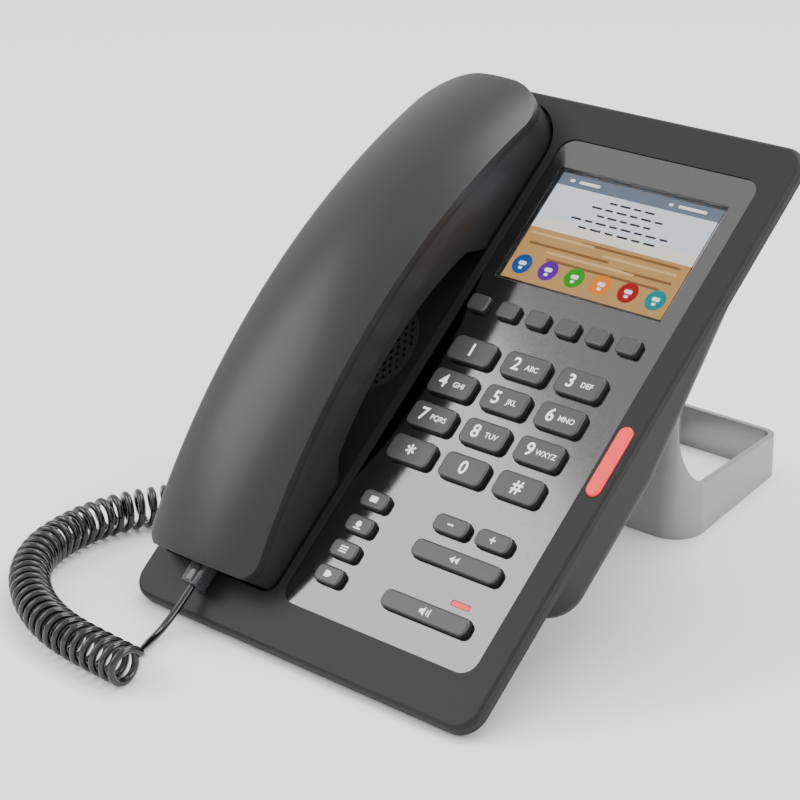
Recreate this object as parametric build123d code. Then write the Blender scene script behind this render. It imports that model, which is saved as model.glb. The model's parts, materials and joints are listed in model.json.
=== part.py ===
"""Desk telephone with a lift-off handset, colour display, keypad and loop stand, in millimetres.

The face of the phone is a flat plate leaning back at TILT from the desk. Most pieces are drawn in the
face frame: x to the right, y up the slope from the lower edge of the face, z outwards from the face.
on_face() then carries them to the row frame: +X right, +Y back, +Z up, with the origin on the desk
under the centre of the phone. The stand and the cord are drawn in the row frame directly.
"""

from build123d import *
import math
import os

# ---------------------------------------------------------------- overall sizes
TILT = 41.0            # degrees, face to desk
BODY_W = 160.0
BODY_L = 235.0         # along the slope
CORNER_R = 9.0
EDGE_R = 2.0           # rounding of the rim's front edge
RIM_T = 4.5            # depth of the front housing's rim
WALL = 2.2
FIT = 0.2              # gap between pieces that drop into each other
SIT = 0.3              # gap between a moving piece and its seat

# ---------------------------------------------------------------- cradle in the left of the face
CRADLE_GAP = 2.0       # beside the handset
CRADLE_END_GAP = (3.0, 1.0)  # drawn in from the handset's mouth end, and beyond its ear end
CRADLE_D = 4.0
CRADLE_R = (5.0, 22.0)  # corners at the mouth end and at the ear end
CRADLE_FILLET = 1.8

# ---------------------------------------------------------------- key panel
PANEL_W = 86.5
PANEL_L = 200.7
PANEL_R = 6.0
PANEL_T = 1.6
PANEL_SINK = 0.5
PANEL_EDGE = 11.0      # right edge of the face to the panel
PANEL_Y0 = 18.0
PANEL_LEDGE = 2.4
LEDGE_Z = 4.0          # depth of the panel's seat

# ---------------------------------------------------------------- display
DISPLAY_W = 73.44
DISPLAY_H = 48.96
DISPLAY_Y = 182.0      # centre, up the slope
LENS_T = 1.2
MODULE_W = 77.0
MODULE_H = 57.0
MODULE_T = 3.2

# ---------------------------------------------------------------- keys
KEY_RISE = 2.4         # above the panel
KEY_TRAVEL = 1.2
KEY_TOP_R = 0.8
KEY_GAP = 0.25
FLANGE = 0.8
FLANGE_T = 1.0
STEM_INSET = 1.2
STEM_END = 6.2
DIGIT_KEY = (19.0, 10.0, 2.6)
SOFT_KEY = (8.6, 6.6, 1.6)
FEATURE_KEY = (11.6, 6.6, 2.2)
VOLUME_KEY = (14.6, 6.6, 2.4)
WIDE_KEY = (37.5, 6.8, 2.6)
DIGIT_PITCH = (23.95, 14.08)
DIGIT_Y = 126.1        # top row
SOFT_PITCH = 13.27
SOFT_Y = 144.8
FEATURE_PITCH = 10.2
FEATURE_Y = 62.5
VOLUME_Y = 63.4
VOLUME_PITCH = 18.5
REDIAL_Y = 52.4
SPEAKER_KEY_Y = 32.2

# ---------------------------------------------------------------- lamp and indicator
LAMP_W = 6.0
LAMP_L = 27.5
LAMP_Y = 103.5
LAMP_RISE = 0.9
LED_W = 8.0
LED_H = 1.8
LED_Y = 39.3

# ---------------------------------------------------------------- boards
MAT_T = 0.8
MAT_GAP = 0.2
BOARD_T = 1.2
MAIN_T = 1.6
MAIN_Z = 11.6          # depth of the main board's front
BOARD_Y1 = 136.0       # upper edge of the main board

# ---------------------------------------------------------------- rear housing
TRAY_D = 7.5
BULGE_START = 3.0      # behind the rim, where the bulges begin inside the tray
HUMP_IN = 6.0          # from the sides of the face
HUMP_Y0 = 52.0
HUMP_Y1 = 212.0
HUMP_KNEE_Y = 112.0     # where its back turns towards the face
HUMP_Z = 30.0
HUMP_END_Z = 11.3      # depth at its upper end
HUMP_R = 13.0
HUMP_FILLET = 7.0
UPPER_IN = 15.0        # from the sides of the face
UPPER_Y1 = 215.0
UPPER_Z = 24.0
UPPER_FILLET = 5.0
REAR_WALL = 2.0
BOSS_R = 3.2
SCREW_R = 1.3
SCREW_HEAD_R = 2.7
SCREW_HEAD_T = 1.3
BOSS_X = 62.0
BOSS_Y = (13.2, 222.0)

# ---------------------------------------------------------------- sockets
PORT_Y = 80.0
PORT_W = 16.0
PORT_H = 13.4
PORT_MOUTH = (11.8, 8.2)
PORT_DEPTH = 12.0
PORT_X = (-6.0, 13.0)
POWER_X = 36.0
POWER_R = 2.9
POWER_PIN_R = 1.0
POWER_BODY = (10.0, 11.0)
POWER_DEPTH = 9.5
PLUG_W = 7.6           # handset plug, across
PLUG_T = 6.0           # handset plug, through
PLUG_L = 16.0
PLUG_IN = 7.0
JACK_WALL = 1.5
BASE_JACK_Y = 72.0
BASE_JACK_IN = 12.5    # from the back of the bulge

# ---------------------------------------------------------------- speaker and hook switch
SPEAKER_Y = 119.0
SPEAKER_R = 20.0
SPEAKER_T = 10.0
GRILLE_R = 21.5
GRILLE_HOLE_R = 0.75
GRILLE_PITCH = 3.0
HOOK_Y = 187.0
HOOK_W = 12.0
HOOK_H = 7.0
HOOK_TRAVEL = 2.4
SWITCH_T = 6.0

# ---------------------------------------------------------------- handset
HANDSET_W = 53.0
HANDSET_Y0 = 15.0
HANDSET_Y1 = 229.5
HANDSET_END_Z = 14.0   # height of the outer skin at both ends
HANDSET_CREST_Z = 35.0
EAR_HEAD_Y = 169.0     # where each head's inner end meets the cradle
MOUTH_HEAD_Y = 62.0
ARCH_Z = 13.0          # underside of the grip at its crest
GRIP_SLOPE = 9.0
HEAD_SIDE = 10.0       # height of each head's slanted inner side
END_LEAN = (5.5, 4.0)  # how far the mouth and ear ends lean in at the bottom
LID = 60.0             # above every part of the handset
TOP_END_R = 20.0
LOW_END_R = 9.0
HANDSET_WALL = 2.2
CROWN_R = 75.0         # crosswise curve of the outer skin
PARTING = 9.0          # outer skin to the parting line
RECEIVER_R = 15.0
RECEIVER_T = 8.0
MIC_R = 5.0
MIC_T = 5.0
EAR_Y = 206.0
MIC_Y = 36.0
DISH_R = 110.0
DISH_D = 1.0
HANDSET_JACK_Z = 5.5
JACK_BACK = 4.5        # handset's end to the front of its socket
WEIGHT = (22.0, 46.0, 5.0)
SOUND_HOLE_R = 0.9
SCREW_IN = 8.0         # handset screws from the heads' inner ends

# ---------------------------------------------------------------- stand
STAND_WALL = 2.5
STAND_FRONT = 168.5    # front wall, behind the face's lower edge
STAND_HALF = 41.5      # half width at the front wall
STAND_FRONT_R = 12.0
STAND_REAR = 251.0     # behind the face's lower edge
STAND_REAR_HALF = 26.0
STAND_REAR_R = 8.0
STAND_CHEEK_H = 46.0   # height where each side wall leaves the front wall
STAND_FOOT_Y = 186.0   # where the side walls have come down to the foot
STAND_FOOT_H = 20.5
STAND_REAR_H = 17.0
STAND_FLANGE = (180.0, 203.0)  # mounting plate, up the slope
STAND_FLANGE_HALF = 34.0
STAND_SCREW_X = 26.0
STAND_SCREW_Y = 190.0
STAND_SCREW_IN = 6.0   # grip of the screws in the bulge

# ---------------------------------------------------------------- rubber pads under the lower edge
PAD_W = 30.0
PAD_L = 7.0
PAD_T = 1.4
PAD_OUT = 0.8

# ---------------------------------------------------------------- handset cord
CORD_D = 2.7
COIL_D = 15.2

# ---------------------------------------------------------------- worked out from the above
SIN = math.sin(math.radians(TILT))
COS = math.cos(math.radians(TILT))
LIFT = PAD_OUT + RIM_T * COS                       # face's lower edge above the desk
FRONT = EDGE_R * (COS + SIN - 1)                   # how far the rounded edge stays back
CENTRE_Y = (FRONT + STAND_REAR) / 2                # face's lower edge to the origin
FACE = Plane(origin=(0, -CENTRE_Y, LIFT), x_dir=(1, 0, 0), z_dir=(0, -SIN, COS))

HUMP_W = BODY_W - 2 * HUMP_IN
UPPER_W = BODY_W - 2 * UPPER_IN
BASE_JACK_Z = HUMP_Z - BASE_JACK_IN
CRADLE_W = HANDSET_W + 2 * CRADLE_GAP
CRADLE_Y0 = HANDSET_Y0 + CRADLE_END_GAP[0]
CRADLE_Y1 = HANDSET_Y1 + CRADLE_END_GAP[1]
CRADLE_X = -BODY_W / 2 + WALL + CRADLE_W / 2
PANEL_X = BODY_W / 2 - PANEL_EDGE - PANEL_W / 2
PANEL_Y = PANEL_Y0 + PANEL_L / 2
PANEL_BACK = PANEL_SINK + PANEL_T
LAMP_X = BODY_W / 2 - PANEL_EDGE / 2 - 1.0
TRAY_Z = RIM_T + TRAY_D
TRAY_TAPER = 90.0 - TILT                           # makes the lower chamfer level with the desk
MAT_Z = STEM_END + KEY_TRAVEL + MAT_GAP
KEYBOARD_Z = MAT_Z + MAT_T
FLOOR_Z = CRADLE_D + WALL                          # underside of the cradle
HEAD_Z = SIT - TRAY_Z                              # outer face of the housing screws' heads


def on_face(part):
    """Carries a piece from the face frame to the row frame."""
    return FACE.location * part


def slab(width, height, radius, x, y, top, depth):
    """A plate with rounded corners whose front is at z = top and which goes back by depth."""
    return extrude(Pos(x, y, top) * RectangleRounded(width, height, radius), -depth)


def rod(radius, x, y, top, depth):
    """A round bar along z whose front is at z = top."""
    return extrude(Pos(x, y, top) * Circle(radius), -depth)


def block(width, height, x, y, top, depth):
    """A square-cornered block whose front is at z = top."""
    return extrude(Pos(x, y, top) * Rectangle(width, height), -depth)


def key_table():
    """Every key as name: (x, y, size)."""
    keys = {}
    digit_x = PANEL_X - 26.2
    names = ["1", "2", "3", "4", "5", "6", "7", "8", "9", "star", "0", "hash"]
    for i, name in enumerate(names):
        row, column = divmod(i, 3)
        place = (digit_x + column * DIGIT_PITCH[0], DIGIT_Y - row * DIGIT_PITCH[1])
        keys["key_" + name] = (*place, DIGIT_KEY)
    for i in range(6):
        keys[f"soft_key_{i + 1}"] = (PANEL_X + (i - 2.5) * SOFT_PITCH - 2.2, SOFT_Y, SOFT_KEY)
    for i in range(4):
        keys[f"feature_key_{i + 1}"] = (PANEL_X - 28.4, FEATURE_Y - i * FEATURE_PITCH, FEATURE_KEY)
    wide_x = PANEL_X + 15.1
    keys["volume_down_key"] = (wide_x - VOLUME_PITCH / 2, VOLUME_Y, VOLUME_KEY)
    keys["volume_up_key"] = (wide_x + VOLUME_PITCH / 2, VOLUME_Y, VOLUME_KEY)
    keys["redial_key"] = (wide_x, REDIAL_Y, WIDE_KEY)
    keys["speaker_key"] = (wide_x, SPEAKER_KEY_Y, WIDE_KEY)
    return keys


KEYS = key_table()
LED_X = KEYS["speaker_key"][0] + 10.0
DISPLAY_X = PANEL_X - 0.7


# ---------------------------------------------------------------- base pieces, in the face frame
def front_housing():
    """Rim, face plate, cradle tub and the panel's seat, in one moulding."""
    y = BODY_L / 2
    part = slab(BODY_W, BODY_L, CORNER_R, 0, y, 0, RIM_T)
    part = fillet(part.edges().group_by(Axis.Z)[-1], EDGE_R)
    part -= slab(BODY_W - 2 * WALL, BODY_L - 2 * WALL, CORNER_R - WALL, 0, y, -WALL, RIM_T)
    inside = rear_bulges(REAR_WALL + FIT) + slab(BODY_W, BODY_L, CORNER_R, 0, y, -EDGE_R, RIM_T - EDGE_R)
    part += inside & cradle_block(WALL, -EDGE_R, FLOOR_Z - EDGE_R)
    part += slab(PANEL_W + 2 * WALL, PANEL_L + 2 * WALL, PANEL_R, PANEL_X, PANEL_Y, -EDGE_R,
                 LEDGE_Z - EDGE_R)
    for x in (-BOSS_X, BOSS_X):
        for boss_y in BOSS_Y:
            part += rod(BOSS_R, x, boss_y, -EDGE_R, TRAY_Z - REAR_WALL - EDGE_R)
    tub = cradle_block(0, 0, CRADLE_D)
    tub = fillet(tub.edges().group_by(Axis.Z)[0], CRADLE_FILLET)
    part -= tub
    part -= slab(PANEL_W, PANEL_L, PANEL_R, PANEL_X, PANEL_Y, 0, PANEL_BACK)
    inner_w, inner_l = PANEL_W - 2 * PANEL_LEDGE, PANEL_L - 2 * PANEL_LEDGE
    part -= slab(inner_w, inner_l, PANEL_R - PANEL_LEDGE, PANEL_X, PANEL_Y, 0, TRAY_Z)
    part -= slab(LAMP_W, LAMP_L, LAMP_W / 2 - 0.01, LAMP_X, LAMP_Y, 0, TRAY_Z)
    part -= rod(GRILLE_R, CRADLE_X, SPEAKER_Y, 0, TRAY_Z)
    part -= block(HOOK_W + 2 * FIT, HOOK_H + 2 * FIT, CRADLE_X, HOOK_Y, 0, TRAY_Z)
    for x in (-BOSS_X, BOSS_X):
        for boss_y in BOSS_Y:
            part -= rod(SCREW_R, x, boss_y, -FLOOR_Z - SIT, TRAY_Z)
    return part


def cradle_block(grow, top, depth):
    """The cradle's recess as a solid, grown sideways: rounder at the ear than at the mouth."""
    half = CRADLE_W / 2 + grow
    y0, y1 = CRADLE_Y0 - grow, CRADLE_Y1 + grow
    corners = [(CRADLE_X - half, y0), (CRADLE_X + half, y0), (CRADLE_X + half, y1), (CRADLE_X - half, y1)]
    face = make_face(Polyline(*corners, close=True))
    face = fillet(face.vertices().sort_by(Axis.Y)[:2], CRADLE_R[0] + grow)
    face = fillet(face.vertices().sort_by(Axis.Y)[-2:], CRADLE_R[1] + grow)
    return extrude(Pos(0, 0, top) * face, -depth)


def rear_bulges(inset):
    """Tray, electronics bulge and upper bulge as one solid, drawn in by inset."""
    outline = Pos(0, BODY_L / 2, -RIM_T) * RectangleRounded(
        BODY_W - 2 * inset, BODY_L - 2 * inset, CORNER_R - inset)
    part = extrude(outline, TRAY_D - inset, dir=(0, 0, -1), taper=TRAY_TAPER)
    hump = slab(HUMP_W - 2 * inset, HUMP_Y1 - HUMP_Y0 - 2 * inset, HUMP_R - inset,
                0, (HUMP_Y0 + HUMP_Y1) / 2, HUMP_FILLET, 2 * HUMP_Z)
    hump = hump & extrude(hump_side(inset), BODY_W, both=True)
    under = [face for face in hump.faces() if face.normal_at().Z < -0.5]
    knee = [e for e in under[0].edges() if abs(e.center().Y - HUMP_KNEE_Y) < 0.1 and abs(e.center().X) < 0.1]
    outer = [e for face in under for e in face.edges() if (e.center() - knee[0].center()).length > 0.1]
    hump = fillet(outer, HUMP_FILLET - inset)
    hump = hump & block(BODY_W, BODY_L, 0, BODY_L / 2, -RIM_T - BULGE_START, 2 * HUMP_Z)
    upper = slab(UPPER_W - 2 * inset, UPPER_Y1 - HUMP_Y0 - 2 * inset, HUMP_R - inset,
                 0, (HUMP_Y0 + UPPER_Y1) / 2, -RIM_T - BULGE_START, UPPER_Z - inset - RIM_T - BULGE_START)
    upper = fillet(upper.edges().group_by(Axis.Z)[0], UPPER_FILLET - inset)
    return part + hump + upper


def hump_side(inset):
    """The electronics bulge seen from the side, its back drawn in by inset."""
    y0, y1 = HUMP_Y0 - 1, HUMP_Y1 + 1
    slope = (HUMP_Z - HUMP_END_Z) / (HUMP_Y1 - HUMP_KNEE_Y)
    points = [(y0, 2 * HUMP_FILLET), (y0, inset - HUMP_Z), (HUMP_KNEE_Y, inset - HUMP_Z),
              (y1, inset - HUMP_END_Z + slope), (y1, 2 * HUMP_FILLET)]
    with BuildSketch(Plane.YZ) as sketch:
        with BuildLine():
            Polyline(*points, close=True)
        make_face()
    return sketch.sketch


def rear_housing():
    """Back cover with its bulge, board posts, socket openings and screw seats."""
    part = rear_bulges(0) - rear_bulges(REAR_WALL)
    floor = -(HUMP_Z - REAR_WALL)
    upper_floor = -(UPPER_Z - REAR_WALL)
    for x, y in board_posts():
        part += rod(BOSS_R, x, y, -MAIN_Z - MAIN_T, HUMP_Z) & rear_bulges(REAR_WALL / 2)
    part += block(HOOK_W - 2, HOOK_H - 1, CRADLE_X, HOOK_Y, switch_back(),
                  UPPER_Z - REAR_WALL / 2 + switch_back())
    for x in (-STAND_SCREW_X, STAND_SCREW_X):
        part += rod(BOSS_R, x, STAND_SCREW_Y, upper_floor + STAND_SCREW_IN, STAND_SCREW_IN + REAR_WALL / 2)
    for x in PORT_X:
        part -= block(PORT_W + 2 * FIT, PORT_H + 2 * FIT, x, PORT_Y, floor + 1.0, 2 * REAR_WALL)
    part -= block(POWER_BODY[0] + 2 * FIT, POWER_BODY[1] + 2 * FIT, POWER_X, PORT_Y, floor + 1.0,
                  2 * REAR_WALL)
    part -= base_jack_place() * Box(4 * REAR_WALL, PLUG_W + 2 * FIT, PLUG_T + 2 * FIT)
    for x in (-BOSS_X, BOSS_X):
        for boss_y in BOSS_Y:
            part -= rod(SCREW_R + FIT, x, boss_y, -TRAY_Z + REAR_WALL + 1, 2 * REAR_WALL)
            part -= rod(SCREW_HEAD_R + FIT, x, boss_y, HEAD_Z + SCREW_HEAD_T, 3 * REAR_WALL)
    for x in (-STAND_SCREW_X, STAND_SCREW_X):
        part -= rod(SCREW_R, x, STAND_SCREW_Y, STAND_SCREW_IN + FIT - UPPER_Z, 2 * STAND_SCREW_IN)
    for x in pad_places():
        part -= face_frame(pad(x, FIT, PAD_T))
    return part


def board_posts():
    """Screw posts of the main board."""
    x0, x1, y0, y1 = main_board_edges()
    return [(x, y) for x in (x0 + 6, x1 - 6) for y in (y0 + 6, y1 - 6)]


def main_board_edges():
    """Left, right, lower and upper edge of the main board."""
    right = HUMP_W / 2 - REAR_WALL - 2.5
    return (-25.0, right, HUMP_Y0 + REAR_WALL + 4.0, BOARD_Y1)


def switch_back():
    """Depth of the hook switch's back, as a z value."""
    return -(hook_low() + 0.2 + SWITCH_T)


def hook_low():
    """Depth of the plunger's foot with the handset down."""
    return FLOOR_Z + FIT + HOOK_TRAVEL + FLANGE_T


def key_panel():
    """The grey fascia with an opening for each key, the display and the indicator."""
    part = slab(PANEL_W - FIT, PANEL_L - FIT, PANEL_R - FIT / 2, PANEL_X, PANEL_Y, -PANEL_SINK, PANEL_T)
    for x, y, (width, height, radius) in KEYS.values():
        part -= slab(width + 2 * KEY_GAP, height + 2 * KEY_GAP, radius + KEY_GAP, x, y, 0, 4 * PANEL_T)
    part -= slab(DISPLAY_W + 2 * FIT, DISPLAY_H + 2 * FIT, 0.6, DISPLAY_X, DISPLAY_Y, 0, 4 * PANEL_T)
    part -= slab(LED_W + 2 * FIT, LED_H + 2 * FIT, LED_H / 2, LED_X, LED_Y, 0, 4 * PANEL_T)
    return part


def display_lens():
    """Clear window, flush with the panel."""
    return slab(DISPLAY_W, DISPLAY_H, 0.5, DISPLAY_X, DISPLAY_Y, -PANEL_SINK, LENS_T)


def display_module():
    """Liquid crystal cell and its backlight, behind the lens."""
    part = slab(MODULE_W, MODULE_H, 1.0, DISPLAY_X, DISPLAY_Y - 1.0, -PANEL_BACK - FIT, MODULE_T)
    return part + slab(DISPLAY_W - 2, DISPLAY_H - 2, 0.5, DISPLAY_X, DISPLAY_Y, -PANEL_SINK - LENS_T - FIT,
                       PANEL_T)


def keypad_sheet(top, thickness):
    """Outline shared by the rubber mat and the key board."""
    lower = PANEL_Y0 + PANEL_LEDGE + 1.0
    upper = DISPLAY_Y - 1.0 - MODULE_H / 2 - 1.0
    right = BODY_W / 2 - WALL - KEYBOARD_Z + 1.0
    left = PANEL_X - PANEL_W / 2 + 1.0
    return slab(right - left, upper - lower, 3.0, (left + right) / 2, (lower + upper) / 2, top, thickness)


def keypad_mat():
    """Silicone mat that returns the keys."""
    return keypad_sheet(-MAT_Z, MAT_T)


def keypad_board():
    """Circuit board with the key contacts and the lamp."""
    return keypad_sheet(-KEYBOARD_Z, BOARD_T)


def main_board():
    """Main circuit board on its posts in the bulge."""
    x0, x1, y0, y1 = main_board_edges()
    return block(x1 - x0, y1 - y0, (x0 + x1) / 2, (y0 + y1) / 2, -MAIN_Z, MAIN_T)


def message_lamp():
    """Red light pipe in the right border of the face."""
    width, length = LAMP_W - FIT, LAMP_L - FIT
    part = slab(width, length, width / 2 - 0.01, LAMP_X, LAMP_Y, LAMP_RISE, LAMP_RISE + RIM_T - FIT)
    return fillet(part.edges().group_by(Axis.Z)[-1], LAMP_RISE - 0.05)


def mute_indicator():
    """Small red light pipe over the speaker key."""
    return slab(LED_W, LED_H, LED_H / 2 - 0.01, LED_X, LED_Y, -PANEL_SINK, MAT_Z - FIT - PANEL_SINK)


def speaker_grille():
    """Perforated disc in the floor of the cradle."""
    part = rod(GRILLE_R - FIT, CRADLE_X, SPEAKER_Y, -CRADLE_D, WALL)
    rows = int(GRILLE_R / GRILLE_PITCH) + 1
    holes = []
    for i in range(-rows, rows + 1):
        for j in range(-rows, rows + 1):
            x = (i + (j % 2) / 2) * GRILLE_PITCH
            y = j * GRILLE_PITCH * math.sqrt(3) / 2
            if math.hypot(x, y) < GRILLE_R - 2.6:
                holes.append(Pos(CRADLE_X + x, SPEAKER_Y + y, -CRADLE_D + 1) * Circle(GRILLE_HOLE_R))
    return part - extrude(Sketch() + holes, -2 * WALL)


def speaker():
    """Hands-free loudspeaker: basket and magnet."""
    part = rod(SPEAKER_R, CRADLE_X, SPEAKER_Y, -FLOOR_Z - FIT, 3.0)
    return part + rod(0.55 * SPEAKER_R, CRADLE_X, SPEAKER_Y, -FLOOR_Z - FIT - 3.0, SPEAKER_T - 3.0)


def hook_plunger():
    """Spring-loaded plunger that the handset holds down."""
    part = slab(HOOK_W, HOOK_H, 1.5, CRADLE_X, HOOK_Y, -CRADLE_D, hook_low() - CRADLE_D)
    part = fillet(part.edges().group_by(Axis.Z)[-1], 0.6)
    return part + slab(HOOK_W + 4, HOOK_H + 4, 1.5, CRADLE_X, HOOK_Y, -hook_low() + FLANGE_T, FLANGE_T)


def hook_switch():
    """Microswitch under the plunger."""
    return block(HOOK_W + 1, HOOK_H, CRADLE_X, HOOK_Y, switch_back() + SWITCH_T, SWITCH_T)


def network_ports():
    """Two network sockets, open to the back."""
    sockets = []
    top = -MAIN_Z - MAIN_T
    for x in PORT_X:
        body = block(PORT_W, PORT_H, x, PORT_Y, top, HUMP_Z - 0.2 + top)
        mouth = block(*PORT_MOUTH, x, PORT_Y, -HUMP_Z + PORT_DEPTH, PORT_DEPTH + 1)
        latch = block(6.2, 3.0, x, PORT_Y - PORT_MOUTH[1] / 2 - 1.0, -HUMP_Z + PORT_DEPTH, PORT_DEPTH + 1)
        sockets.append(body - mouth - latch)
    return Compound(sockets)


def power_jack():
    """Round low-voltage inlet with its centre pin."""
    top = -MAIN_Z - MAIN_T
    part = block(*POWER_BODY, POWER_X, PORT_Y, top, HUMP_Z - 0.2 + top)
    part -= rod(POWER_R, POWER_X, PORT_Y, -HUMP_Z + POWER_DEPTH, POWER_DEPTH + 1)
    return part + rod(POWER_PIN_R, POWER_X, PORT_Y, -HUMP_Z + POWER_DEPTH, POWER_DEPTH - 1.5)


def jack(start):
    """A handset-cord socket along x, its mouth in the wall's outer face at x = 0."""
    depth = PLUG_IN + FIT
    length = depth + JACK_WALL - start
    width, height = PLUG_W + 2 * (FIT + JACK_WALL), PLUG_T + 2 * (FIT + JACK_WALL)
    body = Pos(start + length / 2, 0, 0) * Box(length, width, height)
    return body - Pos(depth / 2, 0, 0) * Box(depth, PLUG_W + 2 * FIT, PLUG_T + 2 * FIT)


def cord_plug():
    """A handset-cord plug along x, with its latch on the outside, fully home in a mouth at x = 0."""
    outside = PLUG_L - PLUG_IN
    body = Pos((PLUG_IN - outside) / 2, 0, 0) * Box(PLUG_L, PLUG_W, PLUG_T)
    latch = Pos(-outside / 2 - 0.75, 0, PLUG_T / 2 + 0.5) * Box(outside - 2.5, 3.2, 1.0)
    return body + latch


def base_jack_place():
    """Mouth of the base's socket, in the left wall of the bulge."""
    return Pos(-HUMP_W / 2, BASE_JACK_Y, -BASE_JACK_Z)


def handset_jack_place():
    """Mouth of the handset's socket, in its lower end."""
    up_the_wall = (HANDSET_END_Z - HANDSET_JACK_Z) / (HANDSET_END_Z - handset_low())
    return Pos(CRADLE_X, HANDSET_Y0 + up_the_wall * END_LEAN[0], HANDSET_JACK_Z) * Rot(0, 0, 90)


def screw(x, y, head_z, length):
    """A self-tapping screw driven in the +z direction, its head's back face at head_z."""
    part = rod(SCREW_HEAD_R, x, y, head_z + SCREW_HEAD_T, SCREW_HEAD_T)
    part += rod(SCREW_R - 0.02, x, y, head_z + SCREW_HEAD_T + length, length)
    return part - block(3.6, 0.8, x, y, head_z + 0.6, 1.2) - block(0.8, 3.6, x, y, head_z + 0.6, 1.2)


def housing_screws():
    """Four screws that hold the two halves of the base together."""
    places = [(x, y) for x in (-BOSS_X, BOSS_X) for y in BOSS_Y]
    reach = -FLOOR_Z - 2 * SIT - HEAD_Z - SCREW_HEAD_T
    return Compound([screw(x, y, HEAD_Z, reach) for x, y in places])


def stand_screws():
    """Two screws that hold the stand to the rear housing."""
    head = -UPPER_Z - STAND_WALL - SCREW_HEAD_T
    return Compound([screw(x, STAND_SCREW_Y, head, STAND_WALL + STAND_SCREW_IN)
                     for x in (-STAND_SCREW_X, STAND_SCREW_X)])


def key_cap(x, y, size):
    """One key: crowned cap, retaining flange and stem."""
    width, height, radius = size
    top = KEY_RISE - PANEL_SINK
    cap = slab(width, height, radius, x, y, top, top + PANEL_BACK + FIT + FLANGE_T)
    cap = fillet(cap.edges().group_by(Axis.Z)[-1], KEY_TOP_R)
    cap += slab(width + 2 * FLANGE, height + 2 * FLANGE, radius, x, y, -PANEL_BACK - FIT, FLANGE_T)
    stem_top = PANEL_BACK + FIT + FLANGE_T
    return cap + slab(width - 2 * STEM_INSET, height - 2 * STEM_INSET, 0.8, x, y, -stem_top,
                      STEM_END - stem_top)


# ---------------------------------------------------------------- handset, in the face frame
def skin_height(y, drop):
    """Height of the arc through both ends and the crest, lowered by drop."""
    half = (HANDSET_Y1 - HANDSET_Y0) / 2
    rise = HANDSET_CREST_Z - HANDSET_END_Z
    radius = (half ** 2 + rise ** 2) / (2 * rise)
    middle = (HANDSET_Y0 + HANDSET_Y1) / 2
    return HANDSET_CREST_Z - radius + math.sqrt(radius ** 2 - (y - middle) ** 2) - drop


def side_profile(inset):
    """Outline seen from the side below the crown, drawn in by inset: two heads and the arched grip."""
    y0, y1 = HANDSET_Y0 + inset, HANDSET_Y1 - inset
    low = handset_low() + inset
    ear, mouth = EAR_HEAD_Y + inset, MOUTH_HEAD_Y - inset
    shoulder = low + HEAD_SIDE
    points = [(mouth + GRIP_SLOPE, shoulder), (mouth, low), (y0 + END_LEAN[0], low), (y0, HANDSET_END_Z),
              (y0, LID), (y1, LID), (y1, HANDSET_END_Z), (y1 - END_LEAN[1], low), (ear, low),
              (ear - GRIP_SLOPE, shoulder)]
    with BuildSketch(Plane.YZ) as sketch:
        with BuildLine():
            Polyline(*points)
            ThreePointArc(points[-1], ((ear + mouth) / 2, ARCH_Z + inset), points[0])
        make_face()
    return sketch.sketch


def handset_low():
    """Underside of the heads, just above the cradle's floor."""
    return SIT - CRADLE_D


def plan_outline(inset):
    """Outline seen from the front: rounder at the ear than at the mouth."""
    half = HANDSET_W / 2 - inset
    y0, y1 = HANDSET_Y0 + inset, HANDSET_Y1 - inset
    corners = [(CRADLE_X - half, y0), (CRADLE_X + half, y0), (CRADLE_X + half, y1), (CRADLE_X - half, y1)]
    face = make_face(Polyline(*corners, close=True))
    face = fillet(face.vertices().sort_by(Axis.Y)[:2], LOW_END_R - inset)
    return fillet(face.vertices().sort_by(Axis.Y)[-2:], TOP_END_R - inset)


def crown(drop):
    """The back of the handset as a wide-rimmed wheel lying across it: everything under the crown."""
    half = (HANDSET_Y1 - HANDSET_Y0) / 2
    rise = HANDSET_CREST_Z - HANDSET_END_Z
    rim = (half ** 2 + rise ** 2) / (2 * rise)
    reach = HANDSET_W / 2 + 2
    edge = rim - drop - CROWN_R + math.sqrt(CROWN_R ** 2 - reach ** 2)
    with BuildSketch(Plane.XZ) as section:
        with BuildLine():
            Polyline((-reach, edge), (-reach, 1), (reach, 1), (reach, edge))
            ThreePointArc((reach, edge), (0, rim - drop), (-reach, edge))
        make_face()
    wheel = revolve(section.sketch, Axis.X, 360)
    return Pos(CRADLE_X, (HANDSET_Y0 + HANDSET_Y1) / 2, HANDSET_CREST_Z - rim) * wheel


def handset_form(inset):
    """The handset's whole form, drawn in by inset."""
    part = Pos(CRADLE_X, 0, 0) * extrude(side_profile(inset), HANDSET_W, both=True)
    part = part & extrude(Pos(0, 0, -LID) * plan_outline(inset), 3 * LID)
    return part & crown(inset)


def parting_region(upper):
    """Everything above, or below, the parting line of the handset."""
    middle = (HANDSET_Y0 + HANDSET_Y1) / 2
    reach = 6.0
    y0, y1 = HANDSET_Y0 - reach, HANDSET_Y1 + reach
    edge = 90.0 if upper else -40.0
    with BuildSketch(Plane.YZ) as sketch:
        with BuildLine():
            ThreePointArc((y0, skin_height(y0, PARTING)), (middle, skin_height(middle, PARTING)),
                          (y1, skin_height(y1, PARTING)))
            Polyline((y1, skin_height(y1, PARTING)), (y1, edge), (y0, edge),
                     (y0, skin_height(y0, PARTING)))
        make_face()
    return Pos(CRADLE_X, 0, 0) * extrude(sketch.sketch, HANDSET_W, both=True)


def face_frame(part):
    """Carries a piece from the row frame back to the face frame."""
    return FACE.location.inverse() * part


# ---------------------------------------------------------------- pieces drawn in the row frame
def pad_places():
    """Middle of each rubber pad across the phone."""
    return (-BODY_W / 2 + 30.0, BODY_W / 2 - 30.0)


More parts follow.
